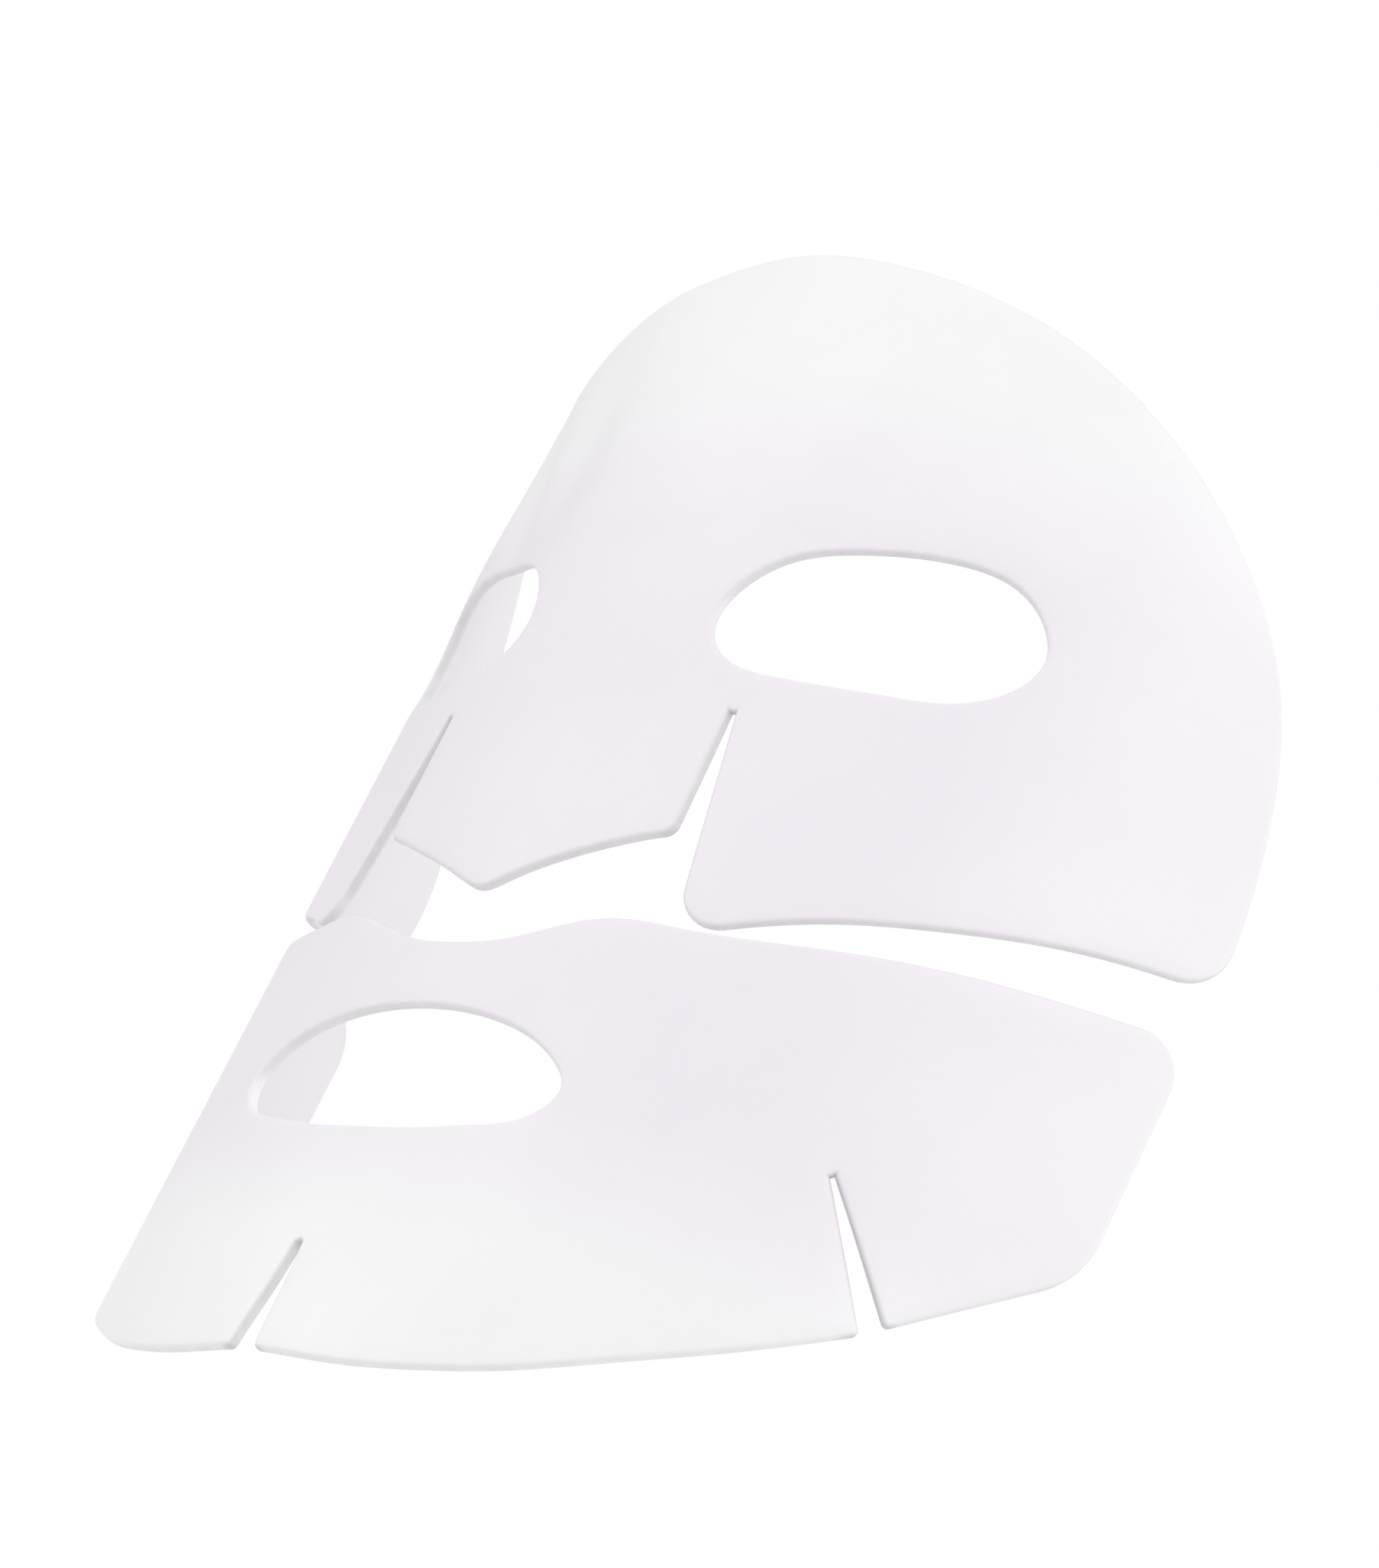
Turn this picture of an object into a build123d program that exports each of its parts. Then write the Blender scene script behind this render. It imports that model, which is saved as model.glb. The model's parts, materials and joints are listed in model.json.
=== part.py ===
from build123d import *
import os
from math import cos, sin, radians

# A two-piece gel face mask, bent the way it sits on a face.
# Millimetres. +Z is up the face, -Y is out of the face, +X is towards the wearer's left.
# The origin is on the skin side of the upper sheet, on the midline, 0.4 mm above the tips of the nose slits.
#
# Both sheets are cut flat and then bent about upright lines, so a place on a sheet is given as
# (s, z): s is the distance from the midline measured along the outer face, and z is the height.

# ---- Driving dimensions ----
GEL_FILM = 0.75
SCRIM = 0.3
THICKNESS = 2 * GEL_FILM + SCRIM
HALF_WIDTH = 108.8

# The bend, seen from above, from the midline outwards: where each arc ends (s) and its radius.
BEND = [(24, 145), (36, 58), (56, 121), (84, 69), (HALF_WIDTH + 2, 156)]

# Where the sheets bend in use. The solids stop short of each line by half of BEND_GAP.
BEND_GAP = 1.0
CHEEK_BEND = 29.3
JAW_BEND = 44.0
NOSE_BEND = -0.7
CHIN_BEND_INNER = -89.3
CHIN_BEND_OUTER = -98.0
CHIN_GAP = 1.6

# Directions, in degrees from straight back, in which each panel's edges are cut.
CHEEK_CUT = 40.0
JAW_CUT = 43.0
CHIN_CUT = 9.0

# ---- Upper sheet, right half of its flat pattern ----
FOREHEAD_EDGE = [
    (0, 78), (24, 75.1), (47, 69.8), (68, 60.4),
    (86, 47.5), (99.2, 31), (106, 12), (HALF_WIDTH, -12),
]
CHEEK_EDGE = [(HALF_WIDTH, -12), (90, -16.4), (72, -22.3), (54, -28.2), (36.5, -35.4)]
NOSE_SLIT_OUTER = (29.8, -0.4)
NOSE_SLIT_INNER = (28.8, -0.4)
NOSE_FLAP_EDGE = [(29.3, -20.5), (22, -22.6), (10, -27), (3.5, -29.9), (0, -31)]
TEMPLE_CORNER_RADIUS = 8.0
CHEEK_CORNER_RADIUS = 5.8
FLAP_CORNER_RADIUS = 2.0
EYE_EDGE = [
    (19.3, 12.8), (24, 7.7), (34, 6.2), (50, 7.6), (62.4, 11.2),
    (68, 20), (62.7, 27.6), (50, 30), (35.6, 28.2), (24, 23),
]

# ---- Lower sheet, right half of its flat pattern ----
LIP_EDGE = [
    (0, -40.6), (9, -39.9), (17, -37.5), (25, -35.1),
    (38, -34.2), (60, -30.8), (84, -25.6), (HALF_WIDTH, -20.3),
]
JAW_CORNER = (HALF_WIDTH, -57.7)
JAW_SLIT_OUTER = (87.5, -77.3)
JAW_SLIT_TIP = [(72.8, -60.9), (72.3, -61.4)]
CHIN_EDGE = [(84.9, -79.7), (71, -89), (56, -96.8), (43, -102.3), (31, -105.5), (19, -106.8), (2.4, -106.6)]
CHIN_SLIT_TIP = [(0.6, -89.6), (0, -89.3)]
SIDE_CORNER_RADIUS = 6.0
JAW_CORNER_RADIUS = 14.0
SLIT_CORNER_RADIUS = 0.9
MOUTH_EDGE = [
    (0, -51.1), (11, -51.8), (20, -53.7), (27.6, -57.1), (31.8, -61.9),
    (29.3, -66.1), (21, -69), (10, -70.5), (0, -70.8),
]

# A cut reaches this far to each side of the sheet.
REACH = 160.0


def on_sheet(s, depth=0.0):
    """The place (x, y) at distance s along the outer face, and depth below it."""
    x, y, turn, done = 0.0, -THICKNESS, 0.0, 0.0
    for end, radius in BEND:
        step = max(0.0, min(abs(s), end) - done)
        x += radius * (sin(turn + step / radius) - sin(turn))
        y += radius * (cos(turn) - cos(turn + step / radius))
        turn += step / radius
        done = end
    x -= depth * sin(turn)
    y += depth * cos(turn)
    return (x if s >= 0 else -x, y)


def section(s_from, s_to, depth_from, depth_to):
    """The layer between two depths, from s_from to s_to, seen from above."""
    stations = [s_from] + [end for end, _ in BEND if s_from < end < s_to] + [s_to]
    spans = list(zip(stations, stations[1:]))
    edges = []
    for depth in (depth_from, depth_to):
        for a, b in spans:
            edges.append(ThreePointArc(on_sheet(a, depth), on_sheet((a + b) / 2, depth), on_sheet(b, depth)))
    for s in (s_from, s_to):
        edges.append(Line(on_sheet(s, depth_from), on_sheet(s, depth_to)))
    return make_face(edges)


def strip(s_from, s_to, depth_from, depth_to, z_from, z_to):
    """The same layer as an upright curved strip."""
    face = section(s_from, s_to, depth_from, depth_to).moved(Location((0, 0, z_from)))
    return extrude(face, amount=z_to - z_from, dir=(0, 0, 1))


class Cut:
    """Turns outlines on the sheet into straight cuts in one direction."""

    def __init__(self, angle):
        self.across = (cos(radians(angle)), sin(radians(angle)))
        self.plane = Plane(
            origin=(0, 0, 0),
            x_dir=(self.across[0], self.across[1], 0),
            z_dir=(self.across[1], -self.across[0], 0),
        )

    def flat(self, place):
        x, y = on_sheet(place[0])
        return (x * self.across[0] + y * self.across[1], place[1])

    def line(self, start, end):
        return Line(self.flat(start), self.flat(end))

    def curve(self, places, **options):
        return Spline(*[self.flat(place) for place in places], **options)

    def rounded(self, face, corners):
        for place, radius in corners:
            near = Vector(*self.flat(place))
            corner = min(face.vertices(), key=lambda vertex: (Vector(vertex.X, vertex.Y) - near).length)
            face = fillet(corner, radius)
        return face

    def through(self, face):
        return extrude(self.plane * face, amount=REACH, both=True)


def upper_outline(cut):
    edges = [
        cut.curve(FOREHEAD_EDGE, tangents=[(1, 0), (0, -1)]),
        cut.curve(CHEEK_EDGE),
        cut.line(CHEEK_EDGE[-1], NOSE_SLIT_OUTER),
        cut.line(NOSE_SLIT_OUTER, NOSE_SLIT_INNER),
        cut.line(NOSE_SLIT_INNER, NOSE_FLAP_EDGE[0]),
        cut.curve(NOSE_FLAP_EDGE, tangents=[(-1, -0.2), (-1, 0)]),
        cut.line(NOSE_FLAP_EDGE[-1], FOREHEAD_EDGE[0]),
    ]
    corners = [
        (CHEEK_EDGE[0], TEMPLE_CORNER_RADIUS),
        (CHEEK_EDGE[-1], CHEEK_CORNER_RADIUS),
        (NOSE_FLAP_EDGE[0], FLAP_CORNER_RADIUS),
    ]
    return cut.rounded(make_face(edges), corners)


def lower_outline(cut):
    edges = [
        cut.curve(LIP_EDGE, tangents=[(1, 0), (1, 0.22)]),
        cut.line(LIP_EDGE[-1], JAW_CORNER),
        cut.line(JAW_CORNER, JAW_SLIT_OUTER),
        cut.line(JAW_SLIT_OUTER, JAW_SLIT_TIP[0]),
        cut.line(*JAW_SLIT_TIP),
        cut.line(JAW_SLIT_TIP[1], CHIN_EDGE[0]),
        cut.curve(CHIN_EDGE),
        cut.line(CHIN_EDGE[-1], CHIN_SLIT_TIP[0]),
        cut.line(*CHIN_SLIT_TIP),
        cut.line(CHIN_SLIT_TIP[1], LIP_EDGE[0]),
    ]
    corners = [
        (LIP_EDGE[-1], SIDE_CORNER_RADIUS),
        (JAW_CORNER, JAW_CORNER_RADIUS),
        (JAW_SLIT_OUTER, SLIT_CORNER_RADIUS),
        (CHIN_EDGE[0], SLIT_CORNER_RADIUS),
        (CHIN_EDGE[-1], SLIT_CORNER_RADIUS),
    ]
    return cut.rounded(make_face(edges), corners)


def eye_opening(cut):
    return make_face(cut.curve(EYE_EDGE, periodic=True))


def mouth_opening(cut):
    other_half = [(-s, z) for s, z in reversed(MOUTH_EDGE[1:-1])]
    return make_face(cut.curve(MOUTH_EDGE + other_half, periodic=True))


def chin_fold(cut, above):
    """The part of the lower sheet above or below the fold of its chin flap."""
    shift = CHIN_GAP / 2 if above else -CHIN_GAP / 2
    far = REACH if above else -REACH
    inner = cut.flat((0, CHIN_BEND_INNER + shift))
    outer = cut.flat((JAW_BEND, CHIN_BEND_OUTER + shift))
    corners = [(-1, inner[1]), inner, outer, (REACH, outer[1]), (REACH, far), (-1, far)]
    return make_face(Polyline(*corners, close=True))


def panel(angle, s_range, z_range, outline, openings=(), trims=()):
    """One panel's three layers, cut from the upright strip of the bent sheet."""
    cut = Cut(angle)
    keep = cut.through(outline(cut))
    for trim in trims:
        keep = keep & cut.through(trim(cut))
    for opening in openings:
        keep = keep - cut.through(opening(cut))
    layers = {}
    depth = 0.0
    for layer, thickness in (("outer_gel", GEL_FILM), ("scrim", SCRIM), ("inner_gel", GEL_FILM)):
        layers[layer] = strip(*s_range, depth, depth + thickness, *z_range) & keep
        depth += thickness
    return layers


def mirrored(layers):
    return {layer: mirror(solid, about=Plane.YZ) for layer, solid in layers.items()}


def whole(layers):
    """A panel that crosses the midline, from its right half."""
    return {layer: (solid + mirror(solid, about=Plane.YZ)).clean() for layer, solid in layers.items()}


half_gap = BEND_GAP / 2
forehead = panel(0, (0, CHEEK_BEND - half_gap), (NOSE_BEND + half_gap, 90), upper_outline, [eye_opening])
nose_flap = panel(0, (0, NOSE_FLAP_EDGE[0][0]), (-50, NOSE_BEND - half_gap), upper_outline)
cheek = panel(CHEEK_CUT, (CHEEK_BEND + half_gap, HALF_WIDTH + 1), (-50, 90), upper_outline, [eye_opening])
mouth_panel = panel(
    0,
    (0, JAW_BEND - half_gap),
    (-120, -20),
    lower_outline,
    [mouth_opening],
    [lambda cut: chin_fold(cut, above=True)],
)
chin_flap = panel(
    CHIN_CUT,
    (0, JAW_BEND - half_gap),
    (-120, -80),
    lower_outline,
    trims=[lambda cut: chin_fold(cut, above=False)],
)
jaw = panel(JAW_CUT, (JAW_BEND + half_gap, HALF_WIDTH + 1), (-120, 0), lower_outline)

PANELS = {
    "forehead": whole(forehead),
    "nose_flap": whole(nose_flap),
    "left_cheek": cheek,
    "right_cheek": mirrored(cheek),
    "mouth_panel": whole(mouth_panel),
    "left_jaw": jaw,
    "right_jaw": mirrored(jaw),
    "left_chin_flap": chin_flap,
    "right_chin_flap": mirrored(chin_flap),
}

os.makedirs("parts", exist_ok=True)
for panel_name, layers in PANELS.items():
    for layer, solid in layers.items():
        export_step(solid, f"parts/{panel_name}_{layer}.step")
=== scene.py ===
"""A two-piece gel face mask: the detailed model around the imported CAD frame.

Both sheets are made flat, in millimetres as (s, z, depth), and then bent: s runs along the outer
face from the midline, z is the height, and depth is measured from the outer face towards the skin.
"""

import json
import math

import bpy
import numpy as np
from mathutils import Matrix, Vector
from mathutils.geometry import delaunay_2d_cdt


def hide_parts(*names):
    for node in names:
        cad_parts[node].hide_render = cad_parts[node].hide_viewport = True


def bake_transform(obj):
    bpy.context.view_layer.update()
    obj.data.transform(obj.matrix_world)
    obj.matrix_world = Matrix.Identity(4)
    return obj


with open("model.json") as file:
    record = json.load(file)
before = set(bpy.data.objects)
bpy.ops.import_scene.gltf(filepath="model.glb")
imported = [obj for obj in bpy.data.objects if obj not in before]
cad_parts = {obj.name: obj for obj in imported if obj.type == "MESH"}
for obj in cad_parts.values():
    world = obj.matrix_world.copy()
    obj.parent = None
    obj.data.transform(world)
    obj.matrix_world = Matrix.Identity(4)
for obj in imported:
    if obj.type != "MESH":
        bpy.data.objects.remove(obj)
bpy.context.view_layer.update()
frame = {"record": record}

MM = 0.001

# ---- The flat patterns and the bend, as in the CAD, in millimetres ----
THICKNESS = 1.8
HALF_WIDTH = 108.8
BEND = [(24, 145), (36, 58), (56, 121), (84, 69), (HALF_WIDTH + 2, 156)]
CHEEK_BEND = 29.3
JAW_BEND = 44.0
CHIN_BEND_OUTER = -98.0

FOREHEAD_EDGE = [
    (0, 78), (24, 75.1), (47, 69.8), (68, 60.4),
    (86, 47.5), (99.2, 31), (106, 12), (HALF_WIDTH, -12),
]
CHEEK_EDGE = [(HALF_WIDTH, -12), (90, -16.4), (72, -22.3), (54, -28.2), (36.5, -35.4)]
NOSE_SLIT_OUTER = (29.8, -0.4)
NOSE_SLIT_INNER = (28.8, -0.4)
NOSE_FLAP_EDGE = [(29.3, -20.5), (22, -22.6), (10, -27), (3.5, -29.9), (0, -31)]
TEMPLE_CORNER_RADIUS = 8.0
CHEEK_CORNER_RADIUS = 5.8
FLAP_CORNER_RADIUS = 2.0
EYE_EDGE = [
    (19.3, 12.8), (24, 7.7), (34, 6.2), (50, 7.6), (62.4, 11.2),
    (68, 20), (62.7, 27.6), (50, 30), (35.6, 28.2), (24, 23),
]
LIP_EDGE = [
    (0, -40.6), (9, -39.9), (17, -37.5), (25, -35.1),
    (38, -34.2), (60, -30.8), (84, -25.6), (HALF_WIDTH, -20.3),
]
JAW_CORNER = (HALF_WIDTH, -57.7)
JAW_SLIT_OUTER = (87.5, -77.3)
JAW_SLIT_TIP = [(72.8, -60.9), (72.3, -61.4)]
CHIN_EDGE = [(84.9, -79.7), (71, -89), (56, -96.8), (43, -102.3), (31, -105.5), (19, -106.8), (2.4, -106.6)]
CHIN_SLIT_TIP = [(0.6, -89.6), (0, -89.3)]
SIDE_CORNER_RADIUS = 6.0
JAW_CORNER_RADIUS = 14.0
SLIT_CORNER_RADIUS = 0.9
MOUTH_EDGE = [
    (0, -51.1), (11, -51.8), (20, -53.7), (27.6, -57.1), (31.8, -61.9),
    (29.3, -66.1), (21, -69), (10, -70.5), (0, -70.8),
]

# The middle line of each slit, on the right half, and how far from it the slit's own edges take a painted
# shade: full within the first distance, none past the second.
SLITS = [((29.3, 0), (32.3, -28)), ((0, -88), (0, -108)), ((72.5, -61), (86.2, -79))]
SLIT_SHADE_REACH = (3.0, 4.5)

# ---- How finely the sheets are made ----
EDGE_STEP = 1.1
GRID_S = 2.0
GRID_Z = 2.5
GRID_CLEARANCE = 1.1
SEAM_STEP = 2.0
# Limits the inward step at a sharp corner of an outline.
SHARPEST = 0.8
# Places nearer than this are one place.
SAME_PLACE = 1e-6
# How near two points or edges may come before the triangulation joins them.
JOINED = 1e-7
# Twice the area below which a triangle is left out.
SLIVER = 1e-7
# The rounded edge: how far in from the outline, and how far from the middle of the thickness.
EDGE_ROUND = [(0.0, 0.2), (0.04, 0.42), (0.14, 0.62), (0.3, 0.77), (0.5, 0.86), (0.75, 0.9)]
# Keeps a division by a length from failing.
TINY = 1e-12
# How strongly the cut's colour, which is painted shade, shows at a distance from the middle of the thickness.
CUT_SHOWS = ([0.4, 0.65, 0.9], [1, 0.7, 0])

# The nose flap's own lowering stops at this half width, short of the cheeks, and above the lips.
LOWERED_HALF_WIDTH = 29.5
LOWERED_ABOVE = -34.0

# ---- The seams between the pieces ----
NOSE_SEAM_Z = 0.35
NOSE_SEAM_END_S = 28
NOSE_SEAM_END_Z = 0.3
# The faces below the nose seam within this half width are the nose flap's piece.
NOSE_PIECE_HALF_WIDTH = 30
CHIN_SEAM_END_S = 1.0
CHIN_SEAM_END_Z = -89.4
CHIN_SEAM_FOOT_Z = -101.2
MIDLINE_TOP = 77
MIDLINE_ABOVE_MOUTH = (-41.5, -49.2)
MIDLINE_BELOW_MOUTH = (-71.8, -88.2)
# A face's middle this near to the end of a slit, or to the fold, counts as above it.
SLIT_MARGIN = 1e-4
FOLD_MARGIN = 0.02

# ---- How far before and after a bend, and below a flap's fold, lie the places for a blend between two bodies; they are worked out, but no blend is made ----
BLEND_BEFORE = 3
BLEND_AFTER = 10
FLAP_BLEND = 14


# ---- Flat outlines ----
def curve(points, start=None, end=None, closed=False):
    """A smooth curve through the points, sampled every EDGE_STEP. start and end are its directions there."""
    knots = np.array(points, float)
    if closed:
        knots = np.vstack([knots, knots[:1]])
    run = np.concatenate([[0], np.cumsum(np.linalg.norm(np.diff(knots, axis=0), axis=1))])
    gaps = np.diff(run)
    slopes = np.diff(knots, axis=0) / gaps[:, None]
    n = len(knots)
    matrix, wanted = np.zeros((n, n)), np.zeros((n, 2))
    for i in range(1, n - 1):
        matrix[i, i - 1 : i + 2] = gaps[i - 1], 2 * (gaps[i - 1] + gaps[i]), gaps[i]
        wanted[i] = 6 * (slopes[i] - slopes[i - 1])
    if closed:
        matrix[0, [0, 1, n - 2]] = 2 * (gaps[-1] + gaps[0]), gaps[0], gaps[-1]
        wanted[0] = 6 * (slopes[0] - slopes[-1])
        matrix[-1, [0, n - 1]] = 1, -1
    else:
        for row, beside, span, sign, direction in ((0, 1, 0, 1, start), (n - 1, n - 2, -1, -1, end)):
            if direction is None:
                matrix[row, row] = 1
            else:
                unit = np.array(direction, float) / np.linalg.norm(direction)
                matrix[row, [row, beside]] = 2 * gaps[span], gaps[span]
                wanted[row] = 6 * sign * (slopes[span] - unit)
    bends = np.linalg.solve(matrix, wanted)
    at = np.linspace(0, run[-1], max(2, math.ceil(run[-1] / EDGE_STEP) + 1))
    i = np.clip(np.searchsorted(run, at, side="right") - 1, 0, n - 2)
    past, left, gap = (at - run[i])[:, None], (run[i + 1] - at)[:, None], gaps[i][:, None]
    made = (bends[i] * left**3 + bends[i + 1] * past**3) / (6 * gap)
    from_before = (knots[i] / gap - bends[i] * gap / 6) * left
    from_after = (knots[i + 1] / gap - bends[i + 1] * gap / 6) * past
    made += from_before + from_after
    return made[:-1] if closed else made


def line(a, b):
    a, b = np.array(a, float), np.array(b, float)
    n = max(2, math.ceil(np.linalg.norm(b - a) / EDGE_STEP) + 1)
    return a + np.linspace(0, 1, n)[:, None] * (b - a)


def joined(parts):
    """Curves end to end, as one run of points."""
    return np.vstack([parts[0]] + [part[1:] for part in parts[1:]])


def rounded(path, corner, radius):
    """The path with its corner nearest to that place rounded."""
    probe, margin = 0.2, 0.3
    k = int(np.argmin(np.linalg.norm(path - np.array(corner, float), axis=1)))
    back, on = path[k - 1] - path[k], path[k + 1] - path[k]
    inside = math.acos(np.dot(back, on) / np.linalg.norm(back) / np.linalg.norm(on))
    cut = radius / math.tan(inside / 2)
    run = np.concatenate([[0], np.cumsum(np.linalg.norm(np.diff(path, axis=0), axis=1))])

    def place(at):
        return np.array([np.interp(at, run, path[:, 0]), np.interp(at, run, path[:, 1])])

    first, last = run[k] - cut, run[k] + cut
    p, q = place(first), place(last)
    out = (p - place(first - probe)) / probe
    home = (place(last + probe) - q) / probe
    turn = math.acos(np.clip(np.dot(out, home), -1, 1))
    handle = 4 / 3 * math.tan(turn / 4) * radius
    n = max(5, math.ceil(turn * radius / EDGE_STEP))
    t = np.linspace(0, 1, n + 1)[:, None]
    bend = (1 - t) ** 3 * p + 3 * (1 - t) ** 2 * t * (p + handle * out)
    bend += 3 * (1 - t) * t**2 * (q - handle * home) + t**3 * q
    before, after = path[run < first - margin], path[run > last + margin]
    return np.vstack([before, bend, after])


def both_halves(right):
    """A closed outline from its right half, which starts and ends on the midline."""
    right = right.copy()
    right[[0, -1], 0] = 0.0
    left = right[1:-1][::-1] * [-1, 1]
    return np.vstack([right, left])


def upper_outline():
    path = joined([
        curve(FOREHEAD_EDGE, (1, 0), (0, -1)),
        curve(CHEEK_EDGE),
        line(CHEEK_EDGE[-1], NOSE_SLIT_OUTER),
        line(NOSE_SLIT_OUTER, NOSE_SLIT_INNER),
        line(NOSE_SLIT_INNER, NOSE_FLAP_EDGE[0]),
        curve(NOSE_FLAP_EDGE, (-1, -0.2), (-1, 0)),
    ])
    path = rounded(path, CHEEK_EDGE[0], TEMPLE_CORNER_RADIUS)
    path = rounded(path, CHEEK_EDGE[-1], CHEEK_CORNER_RADIUS)
    path = rounded(path, NOSE_FLAP_EDGE[0], FLAP_CORNER_RADIUS)
    return both_halves(path)


def lower_outline():
    path = joined([
        curve(LIP_EDGE, (1, 0), (1, 0.22)),
        line(LIP_EDGE[-1], JAW_CORNER),
        line(JAW_CORNER, JAW_SLIT_OUTER),
        line(JAW_SLIT_OUTER, JAW_SLIT_TIP[0]),
        line(*JAW_SLIT_TIP),
        line(JAW_SLIT_TIP[1], CHIN_EDGE[0]),
        curve(CHIN_EDGE),
        line(CHIN_EDGE[-1], CHIN_SLIT_TIP[0]),
        line(*CHIN_SLIT_TIP),
    ])
    path = rounded(path, LIP_EDGE[-1], SIDE_CORNER_RADIUS)
    path = rounded(path, JAW_CORNER, JAW_CORNER_RADIUS)
    for corner in (JAW_SLIT_OUTER, CHIN_EDGE[0], CHIN_EDGE[-1]):
        path = rounded(path, corner, SLIT_CORNER_RADIUS)
    return both_halves(path)


def eye_openings():
    eye = curve(EYE_EDGE, closed=True)
    return [eye, (eye * [-1, 1])[::-1]]


def mouth_opening():
    other_half = [(-s, z) for s, z in reversed(MOUTH_EDGE[1:-1])]
    whole = curve(MOUTH_EDGE + other_half, closed=True)
    right = whole[whole[:, 0] > EDGE_STEP / 2]
    return both_halves(np.vstack([MOUTH_EDGE[:1], right, MOUTH_EDGE[-1:]]))


# ---- Bending ----
def bent(flat):
    """Places (s, z, depth) on the flat sheet as (x, y, z) in millimetres."""
    s, z, depth = flat.T
    x, y, turn = np.zeros(len(s)), np.full(len(s), -THICKNESS), np.zeros(len(s))
    done = 0.0
    for end, radius in BEND:
        step = np.clip(np.minimum(abs(s), end) - done, 0, None)
        x += radius * (np.sin(turn + step / radius) - np.sin(turn))
        y += radius * (np.cos(turn) - np.cos(turn + step / radius))
        turn += step / radius
        done = end
    side = np.where(s < 0, -1.0, 1.0)
    depth = depth + sunk(s, z)
    x, y = x - depth * np.sin(turn), y + depth * np.cos(turn)
    return np.stack([side * x, y, z - dropped(s, z)], axis=1)


def hill(x, middle, width):
    return np.exp(-(((x - middle) / width) ** 2))


def sunk(s, z):
    """How far the sheets lie in from their plain bend, as they take the shape of a face."""
    out = abs(s)
    beside_bridge = 1.6 * hill(out, 33, 8) * hill(z, 46, 17)
    bridge = -1.5 * np.exp(-((s / 30) ** 4)) * hill(z, 18, 17)
    nose_corner = 0.5 * hill(s, -20, 8) * hill(z, -24, 7)
    brow_line = 39.5 + (z - 27) * 0.56
    under_brow = np.where(s < 0, 1.5, 0.3) * hill((out - brow_line) * 0.87, 0, 4.5) * hill(z, 45, 15)
    brow = -0.5 * hill(out, 58, 10) * hill(z, 36, 12)
    temple = -0.7 * hill(out, 104, 16) * hill(z, 36, 24)
    cheek = np.where(s < 0, 1.3, 0.2) * hill(out, 106, 20) * hill(z, 2, 11)
    chin = 0.8 * hill(s, -46, 11) * hill(z, -104, 10) - 0.7 * hill(s, 0, 12) * hill(z, -106, 8)
    return beside_bridge + bridge + nose_corner + under_brow + brow + temple + cheek + chin


def dropped(s, z):
    """How much lower than it was cut a place hangs: one half of the nose flap, and one corner of the chin."""
    on_flap = (abs(s) < LOWERED_HALF_WIDTH) & (z > LOWERED_ABOVE)
    flap = np.where(on_flap, 1.2 / (1 + np.exp(s / 1.5)) * hill(z, -27, 11), 0)
    return flap - 0.6 * hill(s, -45, 14) * hill(z, -104, 9)


# ---- Flat meshes ----
def oriented(loop, anticlockwise):
    x, y = loop.T
    area = np.sum(x * np.roll(y, -1) - np.roll(x, -1) * y)
    return loop if (area > 0) == anticlockwise else loop[::-1]


def inward(loop):
    """The step of each point that moves the whole outline in by 1, with the material on its left."""
    on = np.roll(loop, -1, axis=0) - loop
    on /= np.linalg.norm(on, axis=1)[:, None]
    left = np.stack([-on[:, 1], on[:, 0]], axis=1)
    both = left + np.roll(left, 1, axis=0)
    return both / np.maximum((both**2).sum(axis=1), SHARPEST)[:, None] * 2


def within(points, loops):
    """Which points are inside the outline and outside its openings."""
    inside = np.zeros(len(points), bool)
    x, y = points.T
    for loop in loops:
        for (ax, ay), (bx, by) in zip(loop, np.roll(loop, -1, axis=0)):
            if ay != by:
                crosses = ((ay > y) != (by > y)) & (x < (bx - ax) * (y - ay) / (by - ay) + ax)
                inside ^= crosses
    return inside


def clear_of(points, others, gap):
    """The points further than gap from all the others."""
    keep = np.ones(len(points), bool)
    for other in others:
        keep &= ((points - other) ** 2).sum(axis=1) > gap**2
    return points[keep]


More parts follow.
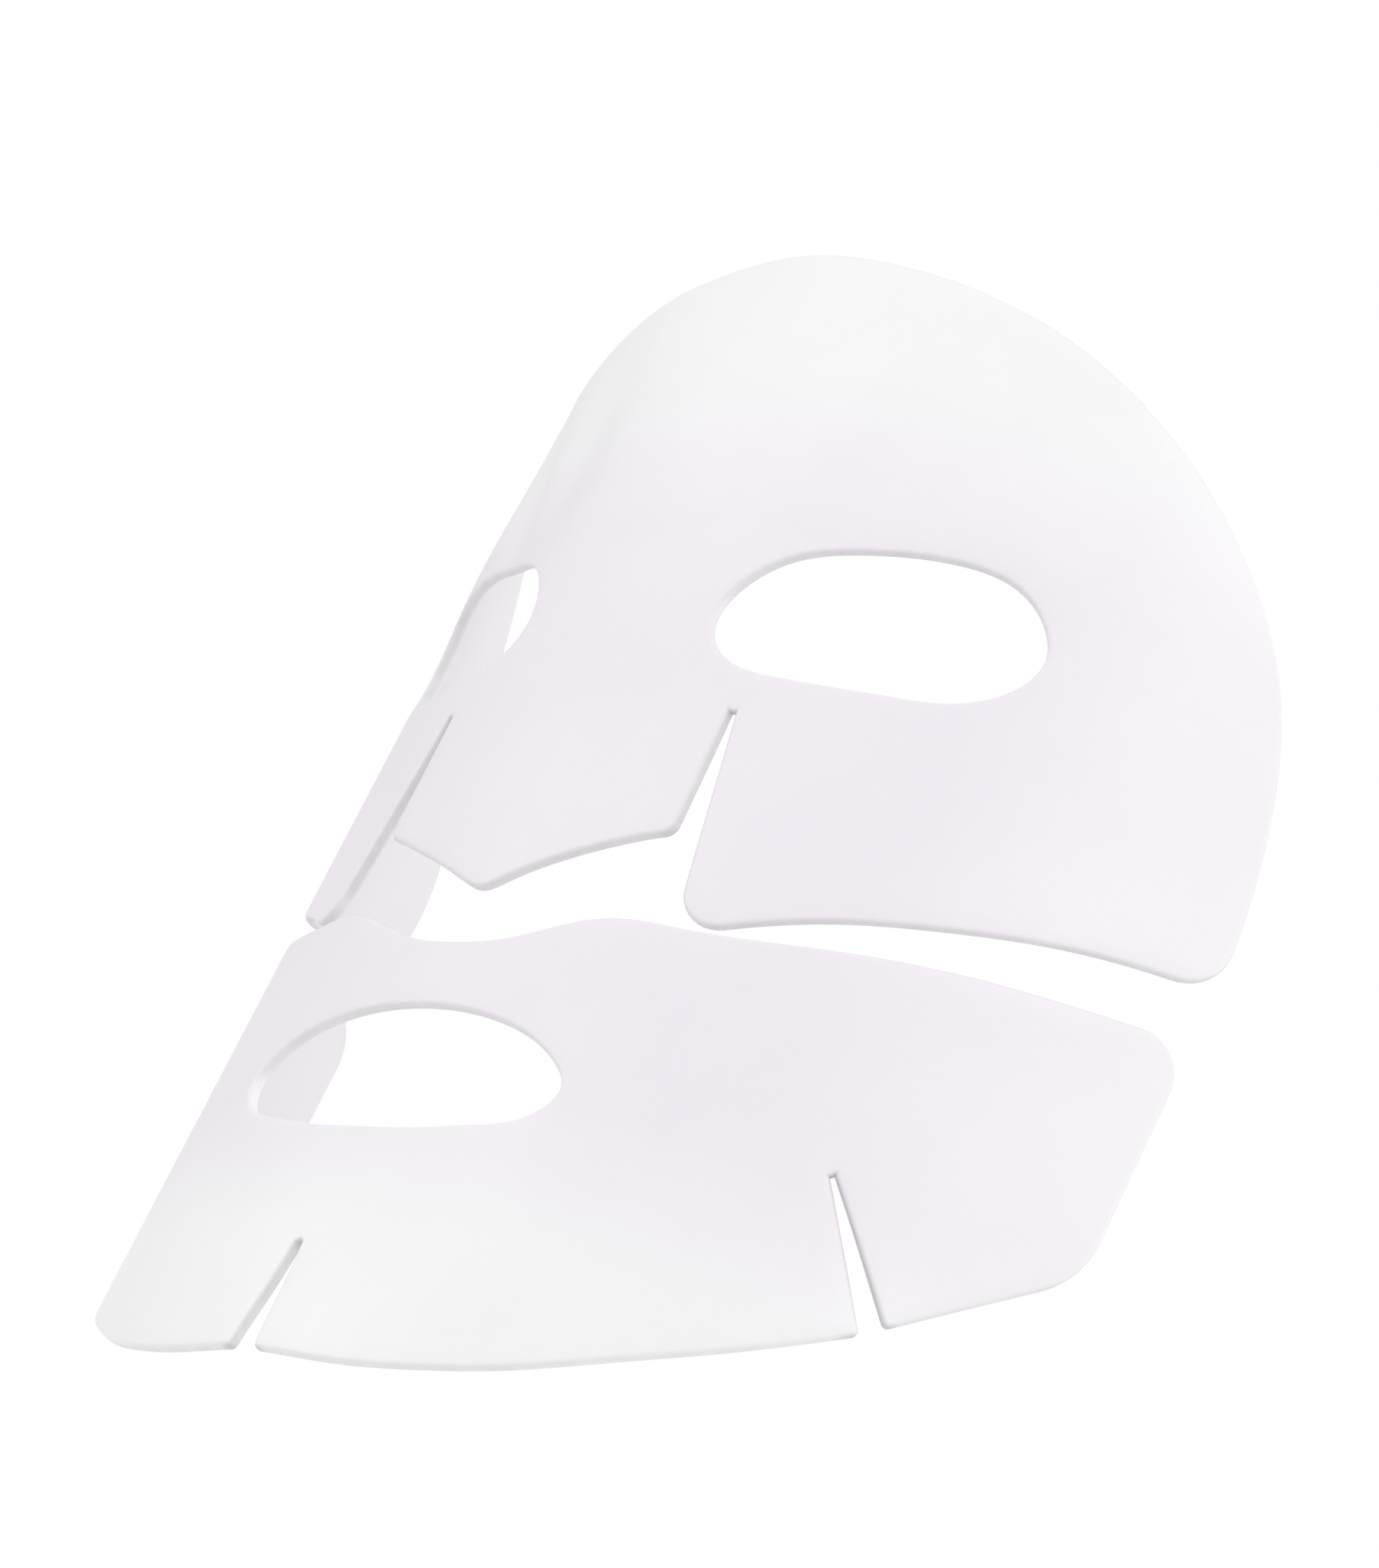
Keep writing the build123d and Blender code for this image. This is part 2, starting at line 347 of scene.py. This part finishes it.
class Flat:
    """A sheet's flat mesh: rings along its outlines, and triangles between them."""

    def __init__(self, outline, openings):
        loops = [oriented(outline, True)] + [oriented(opening, False) for opening in openings]
        self.places, self.heights, self.faces, self.rims = [], [], [], []
        self.last_rings, self.edges = [], []
        for loop in loops:
            step, n = inward(loop), len(loop)
            first = len(self.places)
            for distance, height in EDGE_ROUND:
                self.places += list(loop + step * distance)
                self.heights += [height] * n
            for i in range(n):
                j = (i + 1) % n
                middle = (loop[i] + loop[j]) / 2
                self.rims.append((first + i, first + j))
                for level in range(len(EDGE_ROUND) - 1):
                    a = first + level * n
                    self.faces.append(((a + i, a + j, a + n + j, a + n + i), middle, True))
            last = first + (len(EDGE_ROUND) - 1) * n
            self.last_rings.append(list(range(last, last + n)))
            self.edges += [(last + i, last + (i + 1) % n) for i in range(n)]

    def ring_point(self, place):
        """The innermost ring's point nearest to that place."""
        ring = [k for ring in self.last_rings for k in ring]
        return min(ring, key=lambda k: np.linalg.norm(self.places[k] - np.array(place, float)))

    def seam(self, *route):
        """A line that the triangles keep to. Each end is a place on an outline's ring, or a free place."""
        ends = [(k, self.places[k]) if isinstance(k, int) else (None, np.array(k, float)) for k in route]
        for (a, p), (b, q) in zip(ends, ends[1:]):
            n = max(1, round(np.linalg.norm(q - p) / SEAM_STEP))
            between = [self.at(None, p + (q - p) * i / n) for i in range(1, n)]
            chain = [self.at(a, p), *between, self.at(b, q)]
            self.edges += list(zip(chain, chain[1:]))

    def at(self, known, place):
        """The number of a known point, or of the point at that place, made if there is none."""
        if known is not None:
            return known
        for k in range(len(self.places) - 1, -1, -1):
            if np.abs(self.places[k] - place).max() < SAME_PLACE:
                return k
        self.places.append(place)
        self.heights.append(EDGE_ROUND[-1][1])
        return len(self.places) - 1

    def fill(self):
        """Fills the middle with triangles."""
        rings = [np.array([self.places[k] for k in ring]) for ring in self.last_rings]
        low, high = rings[0].min(axis=0), rings[0].max(axis=0)
        s = np.arange(math.ceil(low[0] / GRID_S), math.floor(high[0] / GRID_S) + 1) * GRID_S
        z = np.arange(math.ceil(low[1] / GRID_Z), math.floor(high[1] / GRID_Z) + 1) * GRID_Z
        grid = np.stack(np.meshgrid(s, z), axis=-1).reshape(-1, 2)
        grid = grid[within(grid, rings)]
        used = sorted({k for edge in self.edges for k in edge})
        grid = clear_of(grid, [self.places[k] for k in used], GRID_CLEARANCE)
        start = len(self.places)
        self.places += list(grid)
        self.heights += [EDGE_ROUND[-1][1]] * len(grid)
        names = used + list(range(start, len(self.places)))
        number = {k: i for i, k in enumerate(names)}
        points = [Vector(self.places[k]) for k in names]
        edges = [(number[a], number[b]) for a, b in self.edges]
        made = delaunay_2d_cdt(points, edges, [], 0, JOINED)
        origin = [names[ids[0]] for ids in made[3]]
        triangles = np.array([[origin[i] for i in face] for face in made[2]])
        middles = np.array(self.places)[triangles].mean(axis=1)
        kept = within(middles, rings)
        for triangle, middle in zip(triangles[kept], middles[kept]):
            a, b, c = (self.places[k] for k in triangle)
            turned = (b[0] - a[0]) * (c[1] - a[1]) - (b[1] - a[1]) * (c[0] - a[0])
            if abs(turned) > SLIVER:
                corners = triangle if turned > 0 else triangle[::-1]
                self.faces.append((tuple(int(k) for k in corners), middle, False))


def directions(places, faces):
    """The smooth outward direction at each point of a closed mesh, weighted by angle."""
    total = np.zeros_like(places)
    for size in (3, 4):
        rows = np.array([face for face in faces if len(face) == size])
        if not len(rows):
            continue
        for i in range(size):
            here, on, back = (places[rows[:, k % size]] for k in (i, i + 1, i - 1))
            a, b = on - here, back - here
            lengths = np.linalg.norm(a, axis=1) * np.linalg.norm(b, axis=1)
            angle = np.arccos(np.clip((a * b).sum(axis=1) / np.maximum(lengths, TINY), -1, 1))
            normal = np.cross(a, b)
            normal /= np.maximum(np.linalg.norm(normal, axis=1), TINY)[:, None]
            np.add.at(total, rows[:, i], normal * angle[:, None])
    return total / np.linalg.norm(total, axis=1)[:, None]


def painted_slit_shade(s, z):
    """Painted shade in the slits: 1 at the edges of a slit and 0 away from them."""
    beside = np.zeros(len(s))
    for (s_from, z_from), (s_to, z_to) in SLITS:
        run_s, run_z = s_to - s_from, z_to - z_from
        away_s, away_z = abs(s) - s_from, z - z_from
        share = np.clip((away_s * run_s + away_z * run_z) / (run_s**2 + run_z**2), 0, 1)
        away = np.hypot(away_s - share * run_s, away_z - share * run_z)
        beside = np.maximum(beside, np.interp(away, SLIT_SHADE_REACH, [1, 0]))
    return beside


def edges_of(faces):
    """Every directed edge of the faces, in their order."""
    return dict.fromkeys(edge for face in faces for edge in zip(face, face[1:] + face[:1]))


def wall(edges, n):
    """The faces between the outer face and the skin side along these edges."""
    return [(b, a, a + n, b + n) for a, b in edges]


def skin_side(faces, n):
    """The faces of the outer face again, on the skin side and turned round."""
    return [tuple(k + n for k in reversed(face)) for face in faces]


def point_attribute(mesh, name, values):
    """A named value, or a vector of three, for each point of the mesh."""
    kind, field = ("FLOAT_VECTOR", "vector") if values.ndim == 2 else ("FLOAT", "value")
    data = mesh.attributes.new(name, kind, "POINT").data
    data.foreach_set(field, values.astype(np.float32).ravel())


def flat_normal(corners):
    a, b, c = corners[:3]
    normal = np.cross(b - a, c - a)
    return normal / max(np.linalg.norm(normal), TINY)


def pieces_of(flat, which, materials):
    """The bent sheet as closed pieces. which(middle, on_outline) names the piece that a face is part of."""
    n = len(flat.places)
    s, z = np.array(flat.places).T
    heights = np.array(flat.heights)
    outer = np.stack([s, z, THICKNESS / 2 - heights], axis=1)
    inner = np.stack([s, z, THICKNESS / 2 + heights], axis=1)
    flat_places = np.vstack([outer, inner])
    places = bent(flat_places) * MM
    rim_edges = set(flat.rims)
    names = {}
    for corners, middle, on_outline in flat.faces:
        names.setdefault(which(middle, on_outline), []).append(corners)
    whole = [face for faces in names.values() for face in faces]
    smooth = directions(places, whole + skin_side(whole, n) + wall(rim_edges, n))
    made = {}
    for name, faces in names.items():
        used = edges_of(faces)
        open_edges = [(a, b) for a, b in used if (b, a) not in used]
        rims = wall([edge for edge in open_edges if edge in rim_edges], n)
        caps = wall([edge for edge in open_edges if edge not in rim_edges], n)
        every = faces + skin_side(faces, n) + rims + caps
        kept = sorted({k for face in every for k in face})
        number = {k: i for i, k in enumerate(kept)}
        mesh = bpy.data.meshes.new(name)
        mesh.from_pydata(places[kept].tolist(), [], [[number[k] for k in face] for face in every])
        point_attribute(mesh, "flat_place", flat_places[kept] * MM)
        # How strongly the cut's painted shade shows at each point.
        point_attribute(mesh, "rim", np.interp(heights[np.array(kept) % n], *CUT_SHOWS))
        # The darker painted shade in the slits, at each point.
        point_attribute(mesh, "slit", painted_slit_shade(*flat_places[kept].T[:2]))
        for material in materials:
            mesh.materials.append(material)
        mesh.polygons.foreach_set("use_smooth", [True] * len(every))
        on_skin_side = [len(faces) <= i < 2 * len(faces) for i in range(len(every))]
        mesh.polygons.foreach_set("material_index", [int(skin) for skin in on_skin_side])
        normals = [smooth[k] for face in every[: len(every) - len(caps)] for k in face]
        for cap in caps:
            normals += [flat_normal(places[list(cap)])] * len(cap)
        mesh.update()
        mesh.normals_split_custom_set([tuple(normal) for normal in normals])
        made[name] = bpy.data.objects.new(name, mesh)
        bpy.context.scene.collection.objects.link(made[name])
    return made


# ---- Materials ----
# The flat sheets' lowest, highest and outermost places, in metres.
LOWEST, HIGHEST, OUTERMOST = -0.11, 0.08, 0.11
# The cut faces' colours are painted light and shade: grey as painted shade, lighter towards the chin as
# painted light from below, and darkest in the slits as painted shade.
CUT_SHADING_AT_CHIN = (0.95, 0.94, 0.95)
CUT_SHADING_AT_MOUTH = (0.88, 0.867, 0.88)
CUT_SHADING_ABOVE = (0.83, 0.815, 0.83)
CUT_SHADE_IN_SLITS = (0.7, 0.685, 0.7)


def grey(level):
    return (level, level, level)


def gel_material(name, middle, ends, roughness, grain):
    """Soft satin gel: one colour over the middle, paler towards its outer edges, greyer where it is cut. The
    middle's colour is a lilac painted shade, the paler edges are painted light, and the cut's grey is painted
    shade, lighter towards the bottom as painted light and darker in the slits.
    """
    material = bpy.data.materials.new(name)
    material.use_nodes = True
    nodes, links = material.node_tree.nodes, material.node_tree.links
    shader = nodes["Principled BSDF"]

    def attribute(name, output):
        node = nodes.new("ShaderNodeAttribute")
        node.attribute_name = name
        return node.outputs[output]

    place = attribute("flat_place", "Vector")

    def noise(scale, detail, rough=0.5):
        node = nodes.new("ShaderNodeTexNoise")
        node.inputs["Scale"].default_value = scale
        node.inputs["Detail"].default_value = detail
        node.inputs["Roughness"].default_value = rough
        links.new(place, node.inputs["Vector"])
        return node.outputs["Fac"]

    def mixed(factor, first, second, how="MIX"):
        """A colour mix. factor may be None, for a full one, and second may be a plain colour."""
        node = nodes.new("ShaderNodeMix")
        node.data_type = "RGBA"
        node.blend_type = how
        if factor is None:
            node.inputs[0].default_value = 1.0
        else:
            links.new(factor, node.inputs[0])
        links.new(first, node.inputs[6])
        if isinstance(second, tuple):
            node.inputs[7].default_value = (*second, 1)
        else:
            links.new(second, node.inputs[7])
        return node.outputs[2]

    def ramp(value, stops):
        node = nodes.new("ShaderNodeValToRGB")
        elements = node.color_ramp.elements
        elements[0].position = stops[0][0]
        elements[1].position = stops[-1][0]
        for position, _ in stops[1:-1]:
            elements.new(position)
        for element, (_, colour) in zip(elements, stops):
            element.color = (*colour, 1)
        links.new(value, node.inputs["Fac"])
        return node.outputs["Color"]

    parts = nodes.new("ShaderNodeSeparateXYZ")
    links.new(place, parts.inputs["Vector"])

    def along(axis, start, end):
        node = nodes.new("ShaderNodeMapRange")
        node.inputs["From Min"].default_value = start
        node.inputs["From Max"].default_value = end
        links.new(parts.outputs[axis], node.inputs["Value"])
        return node.outputs["Result"]

    height = along("Y", LOWEST, HIGHEST)
    # Painted light and shade by height: a lilac painted shade over the middle, paler painted light at the top
    # and the bottom.
    painted_light_by_height = ramp(height, [(0.13, ends), (0.24, middle), (0.74, middle), (0.88, ends)])
    across = along("X", -OUTERMOST, OUTERMOST)
    # Painted light towards the outer sides.
    painted_light_at_sides = ramp(across, [(0, grey(0.5)), (0.14, grey(0)), (0.84, grey(0)), (1, grey(0.5))])
    painted_light_band = mixed(painted_light_at_sides, painted_light_by_height, ends)
    cloud = ramp(noise(38, 3), [(0.3, (0.975, 0.972, 0.977)), (0.72, grey(1))])
    # The cut's painted shade, lighter towards the bottom as painted light from below.
    painted_cut_shading = ramp(height, [(0.1, CUT_SHADING_AT_CHIN), (0.24, CUT_SHADING_AT_MOUTH), (0.42, CUT_SHADING_ABOVE)])
    # Darker painted shade on the cut within the slits.
    cut_with_slit_shade = mixed(attribute("slit", "Fac"), painted_cut_shading, CUT_SHADE_IN_SLITS)
    cut_grain = ramp(noise(300, 3), [(0.3, grey(0.94)), (0.7, grey(1))])
    cut = mixed(None, cut_with_slit_shade, cut_grain, "MULTIPLY")
    face = mixed(None, painted_light_band, cloud, "MULTIPLY")
    links.new(mixed(attribute("rim", "Fac"), face, cut), shader.inputs["Base Color"])

    gloss = nodes.new("ShaderNodeMapRange")
    gloss.inputs["To Min"].default_value = roughness - 0.05
    gloss.inputs["To Max"].default_value = roughness + 0.07
    links.new(noise(210, 4), gloss.inputs["Value"])
    links.new(gloss.outputs["Result"], shader.inputs["Roughness"])

    fine = nodes.new("ShaderNodeBump")
    fine.inputs["Strength"].default_value = grain
    fine.inputs["Distance"].default_value = 0.00008
    links.new(noise(1500, 3, 0.6), fine.inputs["Height"])
    broad = nodes.new("ShaderNodeBump")
    broad.inputs["Strength"].default_value = 0.12
    broad.inputs["Distance"].default_value = 0.0006
    links.new(noise(90, 2), broad.inputs["Height"])
    links.new(fine.outputs["Normal"], broad.inputs["Normal"])
    links.new(broad.outputs["Normal"], shader.inputs["Normal"])

    shader.inputs["IOR"].default_value = 1.38
    shader.inputs["Coat Weight"].default_value = 0.12
    shader.inputs["Coat Roughness"].default_value = 0.35
    return material


# Each gel's middle colour is a lilac painted shade and its end colour painted light.
outer_gel = gel_material("gel_outer_face", (0.845, 0.804, 0.85), (0.89, 0.89, 0.89), 0.46, 0.35)
inner_gel = gel_material("gel_skin_side", (0.89, 0.85, 0.895), (0.9, 0.89, 0.9), 0.4, 0.25)
GEL = [outer_gel, inner_gel]

# ---- The two sheets ----
upper = Flat(upper_outline(), eye_openings())
left_tip = upper.ring_point((NOSE_SEAM_END_S, NOSE_SEAM_END_Z))
right_tip = upper.ring_point((-NOSE_SEAM_END_S, NOSE_SEAM_END_Z))
upper.seam(left_tip, (0, NOSE_SEAM_Z), right_tip)
upper.seam(upper.ring_point((0, MIDLINE_TOP)), (0, NOSE_SEAM_Z))
upper.fill()


def upper_piece(middle, on_outline):
    """A face of a ring is part of the nose flap from the slits' ends down, and a triangle from the seam."""
    s, z = middle
    top = NOSE_SLIT_INNER[1] - SLIT_MARGIN if on_outline else NOSE_SEAM_Z
    if abs(s) < NOSE_PIECE_HALF_WIDTH and z < top:
        return "gel_nose_flap"
    return "gel_upper_left" if s > 0 else "gel_upper_right"


lower = Flat(lower_outline(), [mouth_opening()])
for side in (1, -1):
    tip = lower.ring_point((side * CHIN_SEAM_END_S, CHIN_SEAM_END_Z))
    foot = lower.ring_point((side * JAW_BEND, CHIN_SEAM_FOOT_Z))
    lower.seam(tip, (side * JAW_BEND, CHIN_BEND_OUTER), foot)
for above, below in (MIDLINE_ABOVE_MOUTH, MIDLINE_BELOW_MOUTH):
    lower.seam(lower.ring_point((0, above)), lower.ring_point((0, below)))
lower.fill()
tip_s, tip_z = CHIN_SLIT_TIP[0]
FOLD_GRADE = (CHIN_BEND_OUTER - tip_z) / (JAW_BEND - tip_s)


def lower_piece(middle, on_outline):
    """A face below the fold, between the chin slit and the jaw, is part of a chin flap."""
    s, z = middle
    half = "left" if s > 0 else "right"
    fold_z = tip_z + FOLD_GRADE * (abs(s) - tip_s)
    if abs(s) < JAW_BEND and z < fold_z - (0 if on_outline else FOLD_MARGIN):
        return f"gel_chin_flap_{half}"
    return f"gel_lower_{half}"


made = {**pieces_of(upper, upper_piece, GEL), **pieces_of(lower, lower_piece, GEL)}


# ---- The CAD bodies that the pieces stand in for, whose nodes are hidden ----
def point(s, z):
    """A place in the middle of the sheet's thickness, in the frame's metres."""
    return tuple(bent(np.array([[s, z, THICKNESS / 2]], float))[0] * MM)


def blend_ends(side, bend):
    """Where a sheet would start and end to follow the body beyond a bend, on the left (1) or the right (-1).
    """
    return point(side * (bend - BLEND_BEFORE), 0), point(side * (bend + BLEND_AFTER), 0)


def nodes_of(body):
    """The names of a CAD body's nodes."""
    return frame["record"]["behaviour"]["bodies"][body]


for side, half in ((1, "left"), (-1, "right")):
    piece = made[f"gel_upper_{half}"]
    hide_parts(*nodes_of(f"{half}_cheek"))
    start, end = blend_ends(side, CHEEK_BEND)
    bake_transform(piece)
    piece = made[f"gel_lower_{half}"]
    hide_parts(*nodes_of(f"{half}_jaw"))
    start, end = blend_ends(side, JAW_BEND)
    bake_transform(piece)
    piece = made[f"gel_chin_flap_{half}"]
    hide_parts(*nodes_of(f"{half}_chin_flap"))
    a, b = Vector(point(0, tip_z)), Vector(point(side * JAW_BEND, CHIN_BEND_OUTER))
    along = (b - a).normalized()
    outward = Vector((0, -1, 0))
    down = (outward - along * outward.dot(along)).normalized().cross(along) * side
    down = down if down.z < 0 else -down
    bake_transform(piece)
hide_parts(*nodes_of("forehead"))
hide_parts(*nodes_of("mouth_panel"))
piece = made["gel_nose_flap"]
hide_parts(*nodes_of("nose_flap"))
point(0, NOSE_SEAM_Z)
point(0, NOSE_SEAM_Z - FLAP_BLEND)
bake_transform(piece)


def cut_size(piece):
    """The flat cut of a piece: its width and height, and its area."""
    values = np.zeros(len(piece.data.vertices) * 3, np.float32)
    piece.data.attributes["flat_place"].data.foreach_get("vector", values)
    s, z, _ = values.reshape(-1, 3).T
    area = 0.0
    for face in piece.data.polygons:
        corners = list(face.vertices)
        turned = sum(s[a] * z[b] - s[b] * z[a] for a, b in zip(corners, corners[1:] + corners[:1]))
        area += max(0.0, float(turned) / 2)
    return (float(np.ptp(s)), float(np.ptp(z))), area


for piece in made.values():
    width_and_height, area = cut_size(piece)

# ---- Camera, in millimetres. RIGHT and UP are the directions of its picture ----
EYE = Vector((813.5, -598.3, -438.6))
RIGHT = Vector((0.67291, 0.60921, 0.41957))
UP = Vector((0.01539, -0.57862, 0.81544))
# It aims at a place this far to the right of the top of the nose flap in its picture, and this far below it.
AIM_RIGHT = 15.7
AIM_BELOW = 11.9
AIM = Vector((0, -THICKNESS, 0)) + RIGHT * AIM_RIGHT - UP * AIM_BELOW
FOCAL_LENGTH = 181.34
SENSOR_WIDTH = 36


def add_camera():
    forward = (AIM - EYE).normalized()
    right = (RIGHT - forward * RIGHT.dot(forward)).normalized()
    up = right.cross(forward)
    turned = Matrix((right, up, -forward)).transposed().to_4x4()
    camera = bpy.data.objects.new("camera", bpy.data.cameras.new("camera"))
    bpy.context.scene.collection.objects.link(camera)
    camera.matrix_world = Matrix.Translation(EYE * MM) @ turned
    camera.data.lens = FOCAL_LENGTH
    camera.data.sensor_width = SENSOR_WIDTH
    camera.data.clip_start = 0.05
    camera.data.clip_end = 50
    bpy.context.scene.camera = camera


add_camera()

# ---- Studio, in metres and watts ----
FLOOR_HALF_SIDE = 6
FLOOR_Z = -0.62
FLOOR_COLOUR = (0.82, 0.82, 0.83, 1)
WORLD_STRENGTH = 0.74
LIGHTS_AIM = Vector((0, 0.02, -0.015))
# Each light's name, place, width and power.
LIGHTS = [
    ("key", (0.9, -0.6, 0.7), 0.9, 5.8),
    ("sheen", (-0.8, -0.85, 0.4), 0.9, 2.1),
    ("fill", (-0.7, -1.0, -0.2), 0.8, 1),
    ("behind", (0.9, 1.0, 0.2), 0.8, 4),
    ("side", (-1.1, 0.2, 0), 0.9, 0.6),
]


def add_floor():
    mesh = bpy.data.meshes.new("floor")
    low, high = -FLOOR_HALF_SIDE, FLOOR_HALF_SIDE
    corners = [(x, y, FLOOR_Z) for x, y in ((low, low), (high, low), (high, high), (low, high))]
    mesh.from_pydata(corners, [], [(0, 1, 2, 3)])
    floor = bpy.data.objects.new("floor", mesh)
    bpy.context.scene.collection.objects.link(floor)
    pale = bpy.data.materials.new("pale_floor")
    pale.use_nodes = True
    shader = pale.node_tree.nodes["Principled BSDF"]
    shader.inputs["Base Color"].default_value = FLOOR_COLOUR
    shader.inputs["Roughness"].default_value = 0.9
    mesh.materials.append(pale)


def add_world():
    """Soft white light from all round, with plain white behind the object."""
    world = bpy.data.worlds.new("studio")
    bpy.context.scene.world = world
    world.use_nodes = True
    nodes, links = world.node_tree.nodes, world.node_tree.links
    light = nodes["Background"]
    light.inputs["Color"].default_value = (1, 1, 1, 1)
    light.inputs["Strength"].default_value = WORLD_STRENGTH
    seen = nodes.new("ShaderNodeBackground")
    seen.inputs["Color"].default_value = (1, 1, 1, 1)
    seen.inputs["Strength"].default_value = 1.0
    path = nodes.new("ShaderNodeLightPath")
    mix = nodes.new("ShaderNodeMixShader")
    links.new(path.outputs["Is Camera Ray"], mix.inputs["Fac"])
    links.new(light.outputs["Background"], mix.inputs[1])
    links.new(seen.outputs["Background"], mix.inputs[2])
    links.new(mix.outputs["Shader"], nodes["World Output"].inputs["Surface"])
    bpy.context.scene.view_settings.view_transform = "Standard"


def add_light(name, place, width, power):
    data = bpy.data.lights.new(name, "AREA")
    data.shape = "DISK"
    data.size = width
    data.energy = power
    light = bpy.data.objects.new(name, data)
    light.location = place
    light.rotation_euler = (LIGHTS_AIM - Vector(place)).to_track_quat("-Z", "Y").to_euler()
    bpy.context.scene.collection.objects.link(light)


add_floor()
add_world()
for name, place, width, power in LIGHTS:
    add_light(name, place, width, power)
